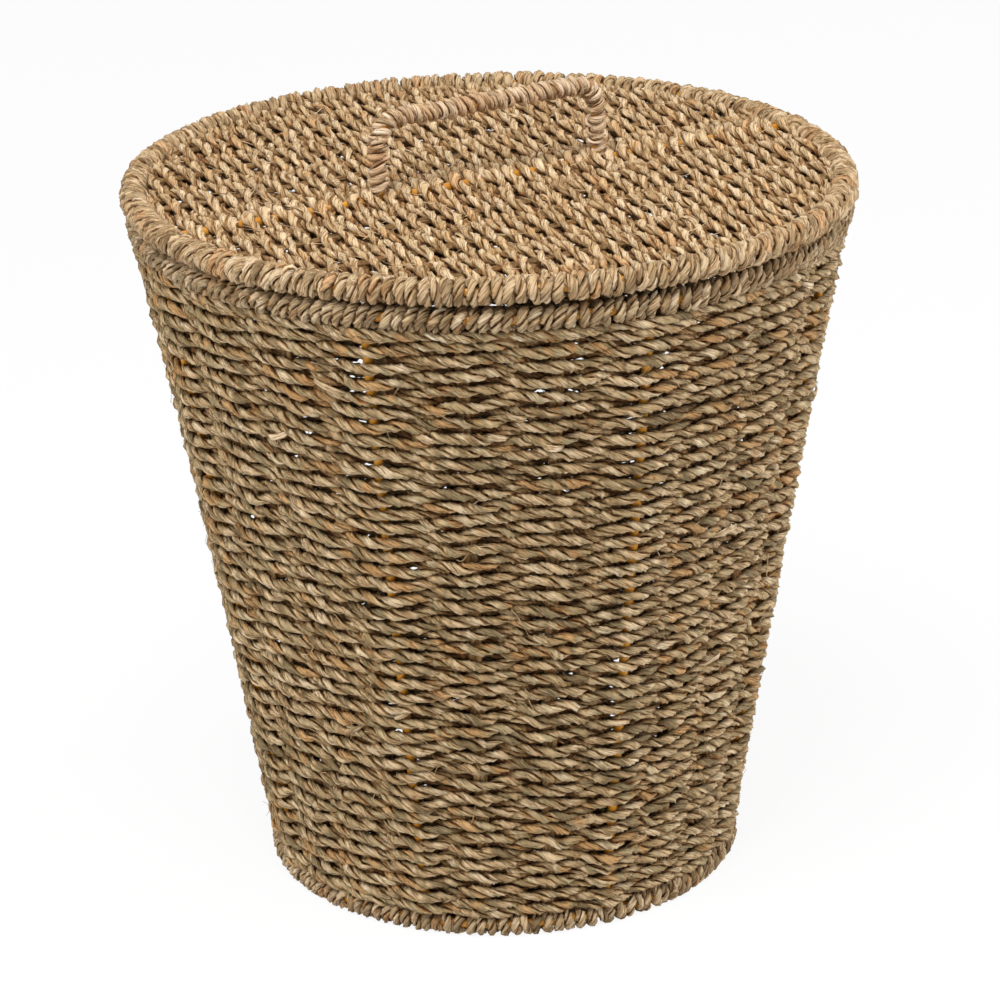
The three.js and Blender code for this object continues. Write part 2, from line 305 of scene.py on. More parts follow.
class Finish(Tree):
    """A material's tree, with its Principled shader at hand."""

    def __init__(self, name, roughness, specular):
        self.material = bpy.data.materials.new(name)
        self.material.use_nodes = True
        super().__init__(self.material.node_tree)
        self.shader = self.tree.nodes["Principled BSDF"]
        self.shader.inputs["Roughness"].default_value = roughness
        self.shader.inputs["Specular IOR Level"].default_value = specular

    def feed(self, label, value):
        self.tree.links.new(value.socket, self.shader.inputs[label])

    def attribute(self, name, out):
        return self.node("ShaderNodeAttribute", {"attribute_name": name}, {}, out)

    def mix(self, kind, factor, first, second):
        """Two colours through a Mix node."""
        settings = {"data_type": "RGBA", "blend_type": kind}
        return self.node("ShaderNodeMix", settings, {"Factor": factor, 6: first, 7: second}, 2)

    def ramp(self, factor, stops):
        return self.node("ShaderNodeValToRGB", {"stops": stops}, {"Fac": factor}, "Color")


# %% Seagrass material
LEAF_LENGTH = 0.048
FOLD_LENGTH = 0.013
FOLD_WIDTH = 0.005
CLOUD_LENGTH = 0.017
PATCH_SIZE = (0.003, 0.007)
FIBRE_SIZE = (0.0007, 0.011)
LINE_SIZE = (0.0017, 0.014)
PALE_PATCH = (226, 204, 172)
GREEN_FADE = 1.38
BLUE_FADE = 1.95


def seagrass(name, tones, patch=(190, 144, 94)):
    """Leaves of changing colour with streaks along them and painted shade in the creases, which turn browner
    as they darken.
    """
    finish = Finish(name, roughness=0.72, specular=0.28)
    across_x, across_y, along = finish.split(finish.attribute("grain", "Vector"))
    strand = finish.attribute("strand", "Fac")
    crease = finish.attribute("crease", "Fac")

    def streaks(size, apart, detail):
        """Noise of a given width and length, set apart from strand to strand."""
        width, length = size
        place = finish.combine(across_x / width, across_y / width, along / length + strand * apart)
        return finish.noise(place, 1.0, detail)

    slow = finish.noise(finish.combine(along / LEAF_LENGTH, strand * 7.31, strand * 3.7), 1.0, 0.0)
    quick = finish.noise(finish.combine(along / FOLD_LENGTH, strand * 4.7, across_x / FOLD_WIDTH), 1.0, 1.0)
    leaf = finish.remap(slow + quick * 0.8, -0.24, 0.24)
    last = len(tones) - 1
    color = finish.ramp(leaf, [(0.02 + 0.96 * i / last, tone(*shade)) for i, shade in enumerate(tones)])

    patches = streaks(PATCH_SIZE, 9.7, 2.0)
    color = finish.mix("MIX", finish.remap(patches, 0.15, 0.27) * 0.5, color, tone(*patch))
    color = finish.mix("MIX", finish.remap(patches, -0.13, -0.27) * 0.45, color, tone(*PALE_PATCH))

    fibre = streaks(FIBRE_SIZE, 5.3, 4.0)
    line = finish.math("ABSOLUTE", streaks(LINE_SIZE, 3.1, 2.0))
    cloud = finish.noise(finish.combine(along / CLOUD_LENGTH, strand * 2.3, 1.0))
    shade = finish.remap(fibre, -0.24, 0.22, 0.74, 1.14)
    shade = shade * finish.remap(line, 0.004, 0.036, 0.46, 1.0)
    shade = shade * finish.remap(cloud, -0.2, 0.2, 0.82, 1.11)
    # Painted shade: the crease shade darkens where strands turn in towards each other and deep in the weave.
    shade = shade * finish.remap(crease, 0.64, 0.92, 1.0, 0.26)
    tint = finish.combine(shade, shade ** GREEN_FADE, shade ** BLUE_FADE)
    finish.feed("Base Color", finish.mix("MULTIPLY", 1.0, color, tint))
    finish.feed("Roughness", finish.remap(fibre, -0.3, 0.3, 0.85, 0.6))
    height = fibre + finish.remap(line, 0.0, 0.05) * 0.6
    bump = finish.node("ShaderNodeBump", {}, {"Strength": 0.9, "Distance": 0.0007, "Height": height})
    finish.feed("Normal", bump)
    return finish.material


cord_tones = [
    (144, 126, 92), (202, 173, 132), (222, 200, 165), (172, 152, 114), (211, 183, 142), (162, 147, 110),
    (198, 158, 108),
]
lid_tones = [
    (197, 168, 127), (225, 195, 156), (229, 206, 172), (218, 189, 148), (228, 202, 163), (211, 186, 146),
    (220, 181, 134),
]
band_tones = [
    (200, 173, 139), (234, 205, 172), (241, 218, 190), (217, 188, 155), (238, 211, 180), (208, 180, 146),
    (227, 191, 153),
]
edge_tones = [
    (166, 140, 105), (212, 182, 142), (224, 200, 165), (192, 164, 126), (218, 190, 152), (180, 157, 120),
    (206, 166, 122),
]
rim_tones = [
    (150, 128, 97), (198, 172, 135), (222, 199, 166), (172, 149, 114), (208, 182, 145), (160, 140, 107),
    (188, 152, 110),
]

cord_finish = seagrass("seagrass_cord", cord_tones)
lid_finish = seagrass("seagrass_lid_cord", lid_tones, (208, 158, 104))
band_finish = seagrass("seagrass_handle", band_tones, (206, 160, 114))
edge_finish = seagrass("seagrass_lid_edge", edge_tones, (190, 146, 98))
rim_finish = seagrass("seagrass_rim", rim_tones, (166, 126, 86))
print(f"{cord_finish.name}: {len(cord_tones)} tones from leaf to leaf")

# %% [markdown]
# ## Painted wire
# The frame is iron wire under yellow paint. Paint over wire is smooth but not even: it runs a little thicker
# and darker in places and it is scuffed where the cord rubs it.

# %% Wire material


def painted_wire():
    finish = Finish("painted_wire", roughness=0.42, specular=0.5)
    place = finish.node("ShaderNodeTexCoord", {}, {}, "Object")
    cloud = finish.noise(place, 90.0, 3.0)
    paint = finish.mix("MIX", finish.clamp(cloud * 2 + 0.5), tone(226, 160, 52), tone(196, 126, 24))
    scuff = finish.noise(place, 700.0, 4.0)
    scuffed = finish.clamp((scuff - 0.16) * 9)
    finish.feed("Base Color", finish.mix("MIX", scuffed * 0.7, paint, tone(96, 66, 30)))
    finish.feed("Roughness", 0.4 + 0.3 * scuffed)
    bump = finish.node("ShaderNodeBump", {}, {"Strength": 0.3, "Distance": 0.0003, "Height": cloud})
    finish.feed("Normal", bump)
    return finish.material


wire_finish = painted_wire()

# %% [markdown]
# ## Strands and cord
# A seagrass cord is two plies twisted round each other. Geometry Nodes can sweep several rings along one
# path, and a tilt that grows with the length winds them into a cord. The tilt follows the stored length along
# the cord, so two pieces of one row meet with their plies in line. A ribbon is a broad leaf and a narrow one
# side by side with no twist. A free curve normal holds it flat, and noise turns it a little askew.

# %% Strands along a path
STRAND_SIDES = 6
LEAF_SIDES = 8
LEAF_BUMP_SIZE = 0.006
PLY_THICKNESS = 0.54
PLY_WIDTH = 0.78
PLY_SHIFT = 0.42
DRIFT_LENGTH = 0.024
TWIST_DRIFT = 2.2


def store(tree, geometry, name, kind, value):
    settings = {"data_type": kind, "domain": "POINT"}
    inputs = {"Geometry": geometry, "Name": name, "Value": value}
    return tree.node("GeometryNodeStoreNamedAttribute", settings, inputs)


def measured(tree, path, along, row, girth):
    """Stores what a sweep needs: the length along the cord, the number of the row and the thickness."""
    for name, value in (("along", along), ("row", row), ("girth", girth)):
        path = store(tree, path, name, "FLOAT", value)
    return path


def named(tree, name, kind="FLOAT"):
    return tree.node("GeometryNodeInputNamedAttribute", {"data_type": kind}, {"Name": name})


def join(tree, *parts):
    joined = tree.node("GeometryNodeJoinGeometry")
    for part in reversed(parts):
        tree.tree.links.new(part.socket, joined.socket.node.inputs[0])
    return joined


def circle(tree, radius, sides):
    inputs = {"Resolution": sides, "Radius": radius}
    return tree.node("GeometryNodeCurvePrimitiveCircle", {"mode": "RADIUS"}, inputs)


def strand_ring(tree, half_x, half_y, shift_x, shift_y, number, crease, sides=STRAND_SIDES):
    """One strand's outline. Its own place across it and its painted crease shade are stored before it is
    moved aside.
    """
    x, y, _ = tree.split(tree.position())
    ring = store(tree, circle(tree, 1.0, sides), "crease", "FLOAT", crease(x, y))
    size = tree.combine(half_x, half_y, 1.0)
    ring = tree.node("GeometryNodeTransform", {}, {"Geometry": ring, "Scale": size})
    ring = store(tree, ring, "section", "FLOAT_VECTOR", tree.position())
    ring = store(tree, ring, "ply", "FLOAT", float(number))
    shift = tree.combine(shift_x, shift_y, 0.0)
    return tree.node("GeometryNodeTransform", {}, {"Geometry": ring, "Translation": shift})


def moved(tree, geometry, offset):
    return tree.node("GeometryNodeSetPosition", {}, {"Geometry": geometry, "Offset": offset})


def roughen(tree, mesh, height, size):
    """Presses the surface in and out a little, each strand by its own pattern."""
    across_x, across_y, along = tree.split(named(tree, "grain", "FLOAT_VECTOR"))
    own = named(tree, "strand") * 3.77
    x = across_x / (size * 0.35) + own
    y = across_y / (size * 0.35) + own * 1.7
    push = tree.noise(tree.combine(x, y, along / size + own), 1.0, 1.0)
    return moved(tree, mesh, tree.scaled(tree.node("GeometryNodeInputNormal"), push * height))


def held(tree, path, mode, **normal):
    """Sets how a profile is held to a path: upright, with the least twist, or to a normal of its own."""
    return tree.node("GeometryNodeSetCurveNormal", {"mode": mode}, {"Curve": path, **normal})


def skin(tree, path, profile, **scale):
    inputs = {"Curve": path, "Profile Curve": profile, "Fill Caps": True, **scale}
    return tree.node("GeometryNodeCurveToMesh", {}, inputs)


def sweep(tree, path, profile, bump_height, bump_size=0.008):
    """Sweeps a profile along a path that carries along, row and girth, and stores what the material reads."""
    mesh = skin(tree, path, profile, Scale=named(tree, "girth"))
    across_x, across_y, _ = tree.split(named(tree, "section", "FLOAT_VECTOR"))
    mesh = store(tree, mesh, "grain", "FLOAT_VECTOR", tree.combine(across_x, across_y, named(tree, "along")))
    mesh = store(tree, mesh, "strand", "FLOAT", named(tree, "row") + named(tree, "ply") * 0.5)
    return roughen(tree, mesh, bump_height, bump_size)


def twisted_cord(tree, path):
    """Two plies wound round each other, tighter in some places than in others."""
    half = tree.input("half")
    along = named(tree, "along")
    uneven = tree.noise(tree.combine(along / DRIFT_LENGTH, 3.0, 8.0), 1.0, 1.0) * TWIST_DRIFT
    tilt = along * math.tau / tree.input("twist") + uneven
    path = tree.node("GeometryNodeSetCurveTilt", {}, {"Curve": path, "Tilt": tilt})
    size = half * PLY_THICKNESS, half * PLY_WIDTH
    # Each ply gets painted shade on the side that turns in towards the other ply.
    first = strand_ring(tree, *size, half * PLY_SHIFT, 0, 0, lambda x, y: 0.5 - 0.5 * x)
    second = strand_ring(tree, *size, half * -PLY_SHIFT, 0, 1, lambda x, y: 0.5 + 0.5 * x)
    return sweep(tree, path, join(tree, first, second), half * 1.1)


RIBBON_LEAVES = [(0.74, -0.22, 0.1), (0.46, 0.56, 0.3)]
RIBBON_ASKEW = 0.3
# Stakes lie in the shade of the rows: this is painted shade over the whole stake.
RIBBON_SHADE = 0.82


def ribbon(tree, path, half_thickness, half_width):
    """A broad leaf with a narrow one beside it, turned to the stored facing, a little askew and darkened all
    over with painted shade.
    """
    path = held(tree, path, "FREE", Normal=named(tree, "facing", "FLOAT_VECTOR"))
    place = tree.combine(named(tree, "along") / 0.011, named(tree, "row") * 3.3, 4.0)
    turn = tree.noise(place, 1.0, 1.0) * RIBBON_ASKEW
    path = tree.node("GeometryNodeSetCurveTilt", {}, {"Curve": path, "Tilt": turn})
    rings = []
    for number, (width_share, side_share, lift_share) in enumerate(RIBBON_LEAVES):
        rings.append(strand_ring(
            tree, half_thickness, half_width * width_share, half_thickness * lift_share,
            half_width * side_share, number, lambda x, y: RIBBON_SHADE, LEAF_SIDES,
        ))
    return sweep(tree, path, join(tree, *rings), half_thickness * 1.6, LEAF_BUMP_SIZE)


def line_of_points(tree, count):
    """A curve of points, still to be placed, and the number of each."""
    inputs = {"Count": count, "Offset": (0.0, 0.0, 0.001)}
    line = tree.node("GeometryNodeMeshLine", {"mode": "OFFSET"}, inputs)
    curve = tree.node("GeometryNodeMeshToCurve", {}, {"Mesh": line})
    return curve, tree.node("GeometryNodeInputIndex")


def resampled(tree, curve, step):
    return tree.node("GeometryNodeResampleCurve", {"mode": "LENGTH"}, {"Curve": curve, "Length": step})


def placed(tree, curve, position):
    return tree.node("GeometryNodeSetPosition", {}, {"Geometry": curve, "Position": position})


def copies(tree, curve, count):
    """Copies of a curve, and the number of each."""
    inputs = {"Geometry": curve, "Amount": count}
    made = tree.node("GeometryNodeDuplicateElements", {"domain": "SPLINE"}, inputs)
    return made, made.also("Duplicate Index")


def random(tree, low, high, number, seed):
    inputs = {2: low, 3: high, "ID": number, "Seed": seed}
    return tree.node("FunctionNodeRandomValue", {"data_type": "FLOAT"}, inputs, 1)


# %% [markdown]
# ## The wall's surface
# The wall is nearly a straight cone between the two hoops. It sags inwards a little, and the eight ribs hold
# it out, so its plan is a soft octagon. Rows, stakes and ribs all take their place from this one formula. It
# takes Python's `math` module or a node tree, because both have `sin` and `cos`.

# %% A point on the wall


def wall_radius(maths, angle, height):
    rise = (height - base_z) / basket_rise
    arch = maths.sin(rise * math.pi)
    ribs = maths.cos((angle - rim_phase) * rib_count)
    slope = base_radius + rise * (rim_radius - base_radius)
    return slope + arch * (ribs * rib_bulge - wall_sag)


def wall_spot(maths, angle, height, out):
    radius = wall_radius(maths, angle, height) + out
    return radius * maths.cos(angle), radius * maths.sin(angle), height


def depth_shaded(tree, mesh, depth):
    """Darkens what lies deep in the weave with painted shade, for the shadow of the rows around it. Depth is
    from the middle of it.
    """
    deep = tree.remap(depth, 0.0004, 0.0032, 0.92, 0.5)
    crease = tree.math("MAXIMUM", named(tree, "crease"), deep)
    return store(tree, mesh, "crease", "FLOAT", crease)


# %% [markdown]
# ## The wall's rows
# Twenty-four uprights is an even number, so one cord can't alternate by itself. Two cords chase each other
# up the wall instead: where one passes in front of a stake, the other passes behind it. Each climbs two rows
# a turn. It starts half a turn early and ends half a turn late, held level there, so both edges are full. A
# hand-woven row is never level, so one smooth noise moves neighbouring rows together and another moves each
# row by itself. A cord swells a little at every upright. It stands further out at the ribs, because the wire
# is thicker than a stake and doesn't give.

# %% Wall rows
row_pitch = 0.00409
cord_half = 0.0031
cord_twist = 0.0225
stake_reach = 0.0028
rib_reach = 0.0012
rib_dip = 0.0009
shared_wave_height = 0.0070
own_wave_height = 0.0078
own_wave_depth = 0.0018
wall_first_z = wall_low[2] + 0.0020
wall_last_z = wall_high[2] - 0.0006
wall_turns = (wall_last_z - wall_first_z) / (2 * row_pitch)
EXTRA_TURNS = 0.5
wall_pieces = 6
STEPS_PER_TURN = 480
CORD_STEP = 0.0025
SPLICE_LENGTH = 0.9


def flattened(wave):
    """A wave with broader tops, as of a cord that lies along what it passes over."""
    return wave * (1.16 - wave * wave * 0.16)


def wall_cord(tree, cord):
    """One of the two chasing cords, between the piece's first and last turn."""
    steps = tree.math("CEIL", tree.input("turns") * STEPS_PER_TURN) + 1
    line, index = line_of_points(tree, steps)
    turn = tree.input("first_turn") + index / STEPS_PER_TURN
    angle = turn * math.tau + rim_phase
    level = wall_first_z + turn * (2 * row_pitch) + cord * row_pitch
    level = tree.math("MAXIMUM", tree.math("MINIMUM", level, wall_last_z), wall_first_z)

    own = turn * 0.37 + cord * 11.3
    around = tree.combine(tree.cos(angle) * 6.0, tree.sin(angle) * 6.0, level * 22)
    around_own = tree.combine(tree.cos(angle) * 9.0 + own * 5.1, tree.sin(angle) * 9.0, own * 9)
    shared_wave = tree.noise(around, 1.0, 1.0)
    own_wave = tree.noise(around_own, 1.0, 2.0)
    at_rib = tree.math("MAXIMUM", tree.cos((angle - rim_phase) * rib_count), 0.0) ** 3
    free = tree.remap(level, wall_first_z, wall_first_z + 0.03, 0.1, 1.0)
    free = free * tree.remap(level, wall_last_z - 0.02, wall_last_z, 1.0, 0.1)
    height = level + (shared_wave * shared_wave_height + own_wave * own_wave_height - at_rib * rib_dip) * free

    side = tree.cos((angle - rim_phase) * (upright_count / 2)) * (1 - 2 * cord)
    reach = stake_reach + at_rib * rib_reach
    out = flattened(side) * reach + tree.noise(around_own, 1.3, 2.0) * own_wave_depth
    cover = side * side * 0.12 - 0.06
    line = placed(tree, line, tree.combine(*wall_spot(tree, angle, height, out)))

    growth = (rim_radius - base_radius) / wall_turns
    length = (turn * base_radius + turn * turn * (growth / 2)) * math.tau
    row = cord + tree.math("FLOOR", length / SPLICE_LENGTH) * 2
    girth = 1 + tree.noise(around_own, 2.4, 2.0) * 0.95 + cover
    line = measured(tree, line, length + cord * 0.0073, row, girth)
    return held(tree, resampled(tree, line, CORD_STEP), "Z_UP")


def wall_recipe():
    tree = Recipe("wall_rows", first_turn=0.0, turns=1.0, half=cord_half, twist=cord_twist)
    mesh = twisted_cord(tree, join(tree, wall_cord(tree, 0), wall_cord(tree, 1)))
    x, y, z = tree.split(tree.position())
    away = (x * x + y * y) ** 0.5 - wall_radius(tree, tree.math("ARCTAN2", y, x), z)
    # Painted shade: strands near the wall's middle surface, deep inside the weave, are darkened.
    tree.finish(depth_shaded(tree, mesh, tree.math("ABSOLUTE", away)))
    return tree


wall_rows = wall_recipe()
turns_each = (wall_turns + 2 * EXTRA_TURNS) / wall_pieces
for number in range(wall_pieces):
    grow(
        f"wall_cord_{number + 1}", wall_rows, cord_finish, "basket", "weave", ["wall_weave"],
        first_turn=number * turns_each - EXTRA_TURNS, turns=turns_each,
    )
print(f"wall: {wall_turns * 2:.0f} rows")

# %% [markdown]
# ## The lid's rows
# The lid is woven to and fro: every row crosses the stakes from one side of the hoop to the other, and the
# next row goes the opposite way over and under. The stakes stand wide apart, so each row shows long loose
# leaves with dark gaps beside them. A row swells where it passes over the cross wire, and near the hoop it
# comes level. Rows drift as they are woven, so they cross the stakes at a slight slant. The edge of a
# hand-made lid is never level: the front stands up a little, one place at the back hangs a little, and low
# waves run all round.

# %% Rows across a disc
ROW_POINTS = 200
disc_shared_wave = 0.0075
disc_own_wave = 0.0066
disc_own_lift = 0.0022
over_wire_girth = 0.62
lid_lift_height = 0.0009
lid_lift_angle = math.radians(-125)
lid_dip_height = 0.0015
lid_dip_angle = math.radians(30)
lid_wobble_height = 0.0008


def warped(tree, mesh):
    """Lifts one side of the lid, lowers another and bends its edge in three low waves."""
    x, y, _ = tree.split(tree.position())
    toward_lift = (x * math.cos(lid_lift_angle) + y * math.sin(lid_lift_angle)) / lid_radius
    toward_dip = (x * math.cos(lid_dip_angle) + y * math.sin(lid_dip_angle)) / lid_radius
    edge = (x * x + y * y) ** 0.5 / lid_radius
    wobble = edge * edge * tree.sin(tree.math("ARCTAN2", y, x) * 3) * lid_wobble_height
    rise = tree.clamp(toward_lift) ** 3 * lid_lift_height - tree.clamp(toward_dip) ** 3 * lid_dip_height
    return moved(tree, mesh, tree.combine(0.0, 0.0, rise + wobble))


def disc_recipe(name, lifted):
    """Rows of cord from side to side of a disc, over and under stakes that run along X."""
    tree = Recipe(
        name, first_row=0.0, rows=10, pitch=0.005, disc_radius=0.18, height=0.0, stake_pitch=0.02,
        reach=0.003, half=0.003, twist=0.014, step=0.0025, slant=0.0,
    )
    line, _ = line_of_points(tree, ROW_POINTS)
    rows, number = copies(tree, line, tree.input("rows"))
    share = tree.node("GeometryNodeSplineParameter", out="Index") / (ROW_POINTS - 1)
    row = tree.input("first_row") + number
    x = row * tree.input("pitch")
    half_length = (tree.input("disc_radius") * tree.input("disc_radius") - x * x) ** 0.5
    y = (share * 2 - 1) * half_length
    slant_cos = tree.cos(tree.input("slant"))
    slant_sin = tree.sin(tree.input("slant"))

    shared = tree.noise(tree.combine(x * 26, y * 26, 0.0), 1.0, 1.0)
    own_place = tree.combine(row * 3.7, y * 55, row * 1.3)
    own = tree.noise(own_place, 1.0, 2.0)
    across = y * slant_cos - x * slant_sin
    wave = tree.cos((across / tree.input("stake_pitch") + row) * math.pi)
    cover = tree.remap(tree.math("ABSOLUTE", across), 0.002, 0.010, over_wire_girth, 0.0) * tree.clamp(wave)
    ease = tree.remap(share * (1 - share) * 4 * half_length, 0.0, 0.03)
    x_woven = x + shared * disc_shared_wave + own * disc_own_wave
    z_woven = tree.input("height") + flattened(wave) * tree.input("reach") * ease
    z_woven = z_woven + tree.noise(own_place, 1.4, 2.0) * disc_own_lift
    turned_x = x_woven * slant_cos + y * slant_sin
    turned_y = y * slant_cos - x_woven * slant_sin
    rows = placed(tree, rows, tree.combine(turned_x, turned_y, z_woven))
    girth = 1 + tree.noise(own_place, 2.4, 2.0) * 0.9 + cover
    rows = measured(tree, rows, y + row * 0.031, row, girth)
    mesh = twisted_cord(tree, held(tree, resampled(tree, rows, tree.input("step")), "Z_UP"))
    _, _, z = tree.split(tree.position())
    # Painted shade: strands near the lid's middle level, deep inside the weave, are darkened.
    mesh = depth_shaded(tree, mesh, tree.math("ABSOLUTE", z - tree.input("height")))
    tree.finish(warped(tree, mesh) if lifted else mesh)
    return tree


def stake_pitch(node, number):
    """How far apart the stakes of a panel lie, when this node is the given stake from the middle."""
    low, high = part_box(node)
    return (low[1] + high[1]) / 2 / number


lid_rows = disc_recipe("lid_rows", True)
base_rows = disc_recipe("base_rows", False)
lid_row_pitch = 0.00495
lid_disc_radius = 0.1815
lid_stake_radius = 0.1795
lid_row_count = 2 * int(lid_disc_radius / lid_row_pitch) + 1
lid_stakes_per_side = 3
lid_stake_pitch = stake_pitch("lid_stake_6", lid_stakes_per_side)
first = -(lid_row_count // 2)
half_count = (lid_row_count + 1) // 2
halves = [(first, half_count), (first + half_count, lid_row_count - half_count)]
for number, (start, count) in enumerate(halves):
    grow(
        f"lid_cord_{number + 1}", lid_rows, lid_finish, "lid", "weave", ["lid_panel"],
        first_row=float(start), rows=count, pitch=lid_row_pitch, disc_radius=lid_disc_radius, height=lid_z,
        stake_pitch=lid_stake_pitch, reach=0.0022, half=0.0028, twist=0.033, step=0.0026,
        slant=math.radians(5),
    )

base_disc_radius = 0.1175
base_stake_radius = 0.1165
base_row_pitch = 0.0045
base_row_count = 2 * int(base_disc_radius / base_row_pitch) + 1
base_stakes_per_side = 4
base_stake_pitch = stake_pitch("base_stake_8", base_stakes_per_side)
grow(
    "base_cord", base_rows, cord_finish, "basket", "weave", ["base_panel"],
    first_row=float(-(base_row_count // 2)), rows=base_row_count, pitch=base_row_pitch,
    disc_radius=base_disc_radius, height=base_z + 0.0010, stake_pitch=base_stake_pitch, reach=0.0018,
    half=0.0028, twist=0.0225, step=0.0038,
)
print(f"lid: {lid_row_count} rows over stakes {lid_stake_pitch * 1000:.1f} mm apart")

# %% [markdown]
# ## Wire
# Hoops, ribs, the two cross wires and the handle are round wire. One recipe sweeps a circle along any path.
# The handle is bent from one length: two legs, a straight bar, and a bend of about a thumb's width at each
# corner.

# %% Wire paths and tubes
RING_POINTS = 180
TUBE_SIDES = 12


def ring_points(radius, height):
    angles = [math.tau * i / RING_POINTS for i in range(RING_POINTS)]
    return [(radius * math.cos(angle), radius * math.sin(angle), height) for angle in angles]


def upright_points(number, low_z, high_z, count=60):
    """Points up the wall at one of the twenty-four uprights."""
    angle = rim_phase + math.tau * number / upright_count
    heights = [low_z + (high_z - low_z) * i / (count - 1) for i in range(count)]
    return [wall_spot(math, angle, height, 0.0) for height in heights]


def handle_points(foot_z, bend=0.012, bend_steps=8):
    """The bail: up one leg, round a corner, along the bar, round a corner and down."""
    points = [(-handle_reach, 0.0, foot_z)]
    centre_z = handle_top - bend
    for corner, start in ((-1, math.pi), (1, math.pi / 2)):
        centre_x = corner * (handle_reach - bend)
        for i in range(bend_steps + 1):
            angle = start - i / bend_steps * math.pi / 2
            points.append((centre_x + bend * math.cos(angle), 0.0, centre_z + bend * math.sin(angle)))
    points.append((handle_reach, 0.0, foot_z))
    return points


def cross_points(reach, y, height, count=40):
    """Points along X."""
    return [(-reach + 2 * reach * i / (count - 1), y, height) for i in range(count)]


def tube_recipe(name, lifted):
    tree = Recipe(name, radius=0.0025)
    profile = circle(tree, tree.input("radius"), TUBE_SIDES)
    mesh = skin(tree, held(tree, tree.path(), "MINIMUM_TWIST"), profile)
    tree.finish(warped(tree, mesh) if lifted else mesh)
    return tree


tube = tube_recipe("tube", False)
lid_tube = tube_recipe("lid_tube", True)
hoop_lines = [ring_points(base_radius, base_z), ring_points(rim_radius, rim_z)]
rib_lines = [upright_points(uprights_per_rib * number, base_z, rim_z) for number in range(rib_count)]
lid_ring = [ring_points(lid_radius, lid_z)]
wires = [
    ("hoops", tube, "basket", ["base_hoop", "rim_hoop"], hoop_lines, True),
    ("ribs", tube, "basket", numbered("rib_wire", rib_count), rib_lines, False),
    ("base_cross_wire", tube, "basket", ["base_wire"], [cross_points(base_radius, 0, base_z)], False),
    ("lid_ring", lid_tube, "lid", ["lid_hoop"], lid_ring, True),
    ("lid_cross_wire", lid_tube, "lid", ["lid_wire"], [cross_points(lid_radius, 0, lid_z)], False),
    ("handle_bail", tube, "lid", ["handle_wire"], [handle_points(lid_z)], False),
]
for name, recipe, body, nodes, lines, closed in wires:
    grow(name, recipe, wire_finish, body, "wire", nodes, lines, closed, radius=wire_radius)

# %% [markdown]
# ## Stakes
# Between the ribs stand stiff stakes of seagrass that the cord crosses. Each is a broad leaf with a narrow
# one beside it. They show only in the gaps, in the shade of the rows, so they stay simple and are darkened
# all over with painted shade.

# %% Stakes
STAKE_STEP = 0.006


def stake_recipe(name, lifted):
    """A pair of leaves along each path, flat to the wall where spread is (1, 1, 0) or to the floor."""
    tree = Recipe(name, spread=(1.0, 1.0, 0.0), up=(0.0, 0.0, 0.0), half_width=0.0036, half_thickness=0.0012)
    path = resampled(tree, tree.path(), STAKE_STEP)
    position = tree.position()
    facing = tree.vector("MULTIPLY", position, tree.input("spread"))
    facing = tree.vector("NORMALIZE", tree.vector("ADD", facing, tree.input("up")))
    path = store(tree, path, "facing", "FLOAT_VECTOR", facing)
    x, y, _ = tree.split(position)
    length = tree.node("GeometryNodeSplineParameter", out="Length")
    row = tree.math("ROUND", (x + y * 1.37) * 40)
    path = measured(tree, path, length, row, 1 + tree.noise(position, 130.0, 1.0) * 0.5)
    mesh = ribbon(tree, path, tree.input("half_thickness"), tree.input("half_width"))
    tree.finish(warped(tree, mesh) if lifted else mesh)
    return tree


stakes = stake_recipe("stakes", False)
lid_stakes = stake_recipe("lid_stakes", True)
stake_numbers = [number for number in range(upright_count) if number % uprights_per_rib]
stake_foot = wall_low[2] - 0.004
stake_tip = wall_high[2] + 0.002
lines = [upright_points(number, stake_foot, stake_tip) for number in stake_numbers]
grow("wall_stakes", stakes, cord_finish, "basket", "stake", numbered("wall_stake", len(lines)), lines)


def cross_lines(count, radius, pitch, height):
    places = [side * number * pitch for number in range(1, count + 1) for side in (-1, 1)]
    return [cross_points(math.sqrt(radius * radius - y * y), y, height) for y in places]


flat = {"spread": (0.0, 0.0, 0.0), "up": (0.0, 0.0, 1.0)}
lines = cross_lines(base_stakes_per_side, base_stake_radius, base_stake_pitch, base_z)
grow("base_stakes", stakes, cord_finish, "basket", "stake", numbered("base_stake", len(lines)), lines, **flat)
lines = cross_lines(lid_stakes_per_side, lid_stake_radius, lid_stake_pitch, lid_z)
grow("lid_stakes", lid_stakes, cord_finish, "lid", "stake", numbered("lid_stake", len(lines)), lines, **flat)

# %% [markdown]
# ## Windings
# The hoops and the handle are wound with seagrass. A winding is a helix round a path: at each moment it needs
# the path's place and direction, one steady direction across it, and a turning angle. The turns are spaced
# by hand, so a little noise moves each turn along, changes its radius and leans it. The winding is cord,
# which gives plump loops with small gaps where the wire shows.

# %% Winding recipe
WINDING_STEPS = 14
TURNS_PER_LEAF = 5.3
FOOT = 0.0003


